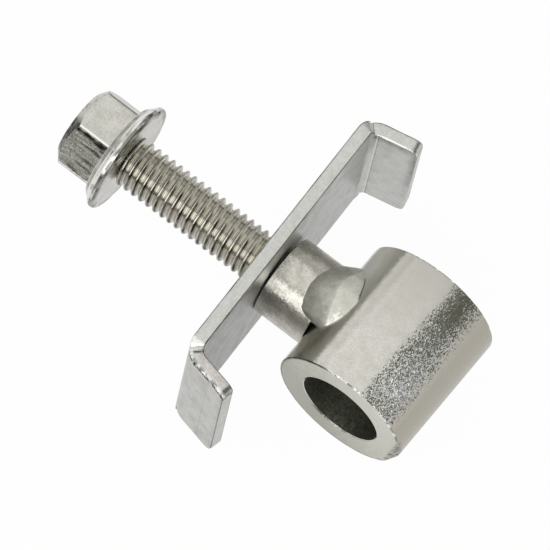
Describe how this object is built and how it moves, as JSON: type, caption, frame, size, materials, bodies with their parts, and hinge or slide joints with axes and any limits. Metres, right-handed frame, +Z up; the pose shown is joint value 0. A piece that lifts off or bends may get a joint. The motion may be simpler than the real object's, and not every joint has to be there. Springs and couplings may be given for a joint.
{
  "type": "motorcycle chain adjuster",
  "caption": "Chain adjuster: axle barrel with a welded threaded neck, drawn along by a hexagon flange bolt through a bent end plate with two splayed tabs.",
  "frame": {"origin": "middle of the axle bore, where the bolt's axis meets the axle's", "axes": "+X along the bolt from its head towards the barrel, +Y along the axle bore, +Z up, across the end plate's width"},
  "size_m": [0.051, 0.0379, 0.0194],
  "materials": {
    "barrel_zinc": "bright zinc plated over drawn tube",
    "weld_zinc": "bright zinc plated over a smooth weld",
    "plate_zinc": "bright zinc plated over pressed sheet",
    "bolt_zinc": "bright zinc plated over forged and rolled steel"
  },
  "bodies": {
    "plate": {"end_plate": "plate_zinc"},
    "bolt": {"adjuster_bolt": "bolt_zinc"},
    "barrel": {"axle_barrel": "barrel_zinc", "threaded_neck": "barrel_zinc", "weld_bead_upper": "weld_zinc", "weld_bead_lower": "weld_zinc"}
  },
  "joints": [
    {"name": "bolt_turn", "type": "hinge", "parent": "plate", "child": "bolt", "pos_m": [-0.0358, 0, 0], "axis": [-1, 0, 0], "range_deg": [0, 2160]},
    {"name": "barrel_travel", "type": "slide", "parent": "plate", "child": "barrel", "axis": [1, 0, 0], "range_m": [0, 0.006]}
  ],
  "couplings": [
    {"joint": "bolt_turn", "follows": "barrel_travel", "rad_per_m": 6283.2}
  ]
}
